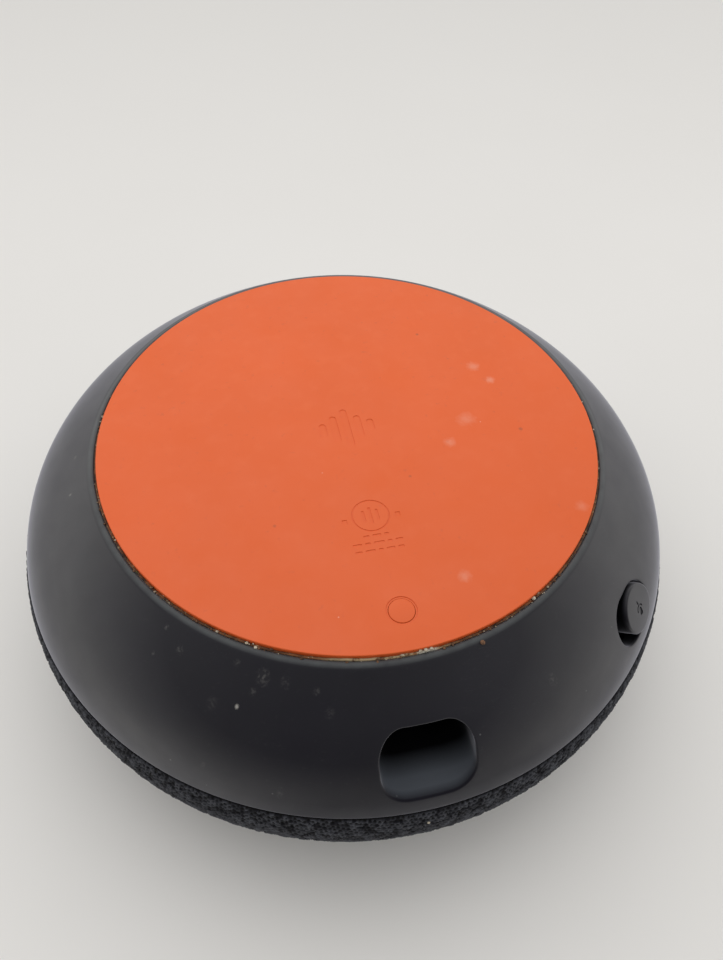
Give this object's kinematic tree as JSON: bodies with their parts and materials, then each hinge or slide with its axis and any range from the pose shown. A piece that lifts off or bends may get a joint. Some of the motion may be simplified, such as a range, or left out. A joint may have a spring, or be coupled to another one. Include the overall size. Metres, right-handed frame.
{
  "type": "smart speaker",
  "caption": "Puck-shaped smart speaker with a fabric dome, a bowl-shaped lower case, a round silicone base pad, a recessed power socket and a sliding mute switch.",
  "frame": {"origin": "middle of the fabric dome where it rests on the table: the speaker is stored upside down, lying on its dome with the base pad facing up. Turn it half a turn about X to stand it on its base pad", "axes": "+Z out of the base pad, away from the fabric dome; the power socket faces -Y; +X is to the right as seen from the socket side"},
  "size_m": [0.098, 0.098, 0.042],
  "materials": {
    "silicone": "matte orange silicone",
    "casing": "fine matte charcoal",
    "fabric": "charcoal melange knit",
    "black_plastic": "matte black",
    "pale_plastic": "satin white",
    "clear_plastic": "clear light guide",
    "adhesive": "thin adhesive film",
    "film": "amber polyimide",
    "board": "green solder mask",
    "chip": "black moulded resin",
    "rubber": "black rubber",
    "foam": "grey foam",
    "steel": "bright steel",
    "iron": "zinc plated iron",
    "ferrite": "dark ferrite",
    "aluminium": "satin",
    "copper": "copper",
    "paper": "pressed paper cone",
    "cloth": "stiffened cloth",
    "red_insulation": "red wire insulation"
  },
  "bodies": {
    "casing": {"base_pad": "silicone", "pad_adhesive": "adhesive", "reset_switch_body": "black_plastic", "lower_case": "casing", "case_screw_1": "steel", "case_screw_2": "steel", "case_screw_3": "steel", "case_screw_4": "steel", "enclosure_screw_1": "steel", "enclosure_screw_2": "steel", "enclosure_screw_3": "steel", "board_screw_1": "steel", "board_screw_2": "steel", "board_screw_3": "steel", "grille_shell": "black_plastic", "fabric_cover": "fabric", "mute_switch_body": "black_plastic", "mute_board": "board", "usb_socket_shell": "steel", "usb_contact_tongue": "black_plastic", "main_board": "board", "shield_can": "steel", "processor_chip": "chip", "memory_chip": "chip", "amplifier_chip": "chip", "ribbon_connector": "pale_plastic", "speaker_connector": "pale_plastic", "thermal_pad": "foam", "heat_spreader": "aluminium", "ribbon_cable": "film", "antenna_1": "copper", "antenna_2": "copper", "sensor_board": "board", "status_led_1": "pale_plastic", "status_led_2": "pale_plastic", "status_led_3": "pale_plastic", "status_led_4": "pale_plastic", "light_guide": "clear_plastic", "microphone_1": "steel", "microphone_2": "steel", "touch_pad_right": "copper", "touch_pad_left": "copper", "speaker_enclosure": "black_plastic", "speaker_gasket": "foam", "speaker_basket": "steel", "top_plate": "iron", "ring_magnet": "ferrite", "pole_yoke": "iron", "surround": "rubber", "spider": "cloth", "speaker_wire_red": "red_insulation", "speaker_wire_black": "rubber"},
    "mute_slider": {"mute_knob": "casing", "mute_lever": "black_plastic"},
    "reset_button": {"reset_pad_disc": "silicone", "reset_plunger": "pale_plastic", "reset_switch_button": "pale_plastic"},
    "diaphragm": {"speaker_cone": "paper", "dust_cap": "rubber", "voice_coil": "copper"}
  },
  "joints": [
    {"name": "mute_slide", "type": "slide", "parent": "casing", "child": "mute_slider", "axis": [-0.7046, -0.7096, 0], "range_m": [0, 0.0017]},
    {"name": "reset_press", "type": "slide", "parent": "casing", "child": "reset_button", "axis": [0, 0, -1], "range_m": [0, 0.0004], "stiffness_N_per_m": 1500},
    {"name": "cone_travel", "type": "slide", "parent": "casing", "child": "diaphragm", "axis": [0, 0, -1], "range_m": [-0.0015, 0.0015], "stiffness_N_per_m": 800, "deforming": ["surround", "spider"]}
  ]
}
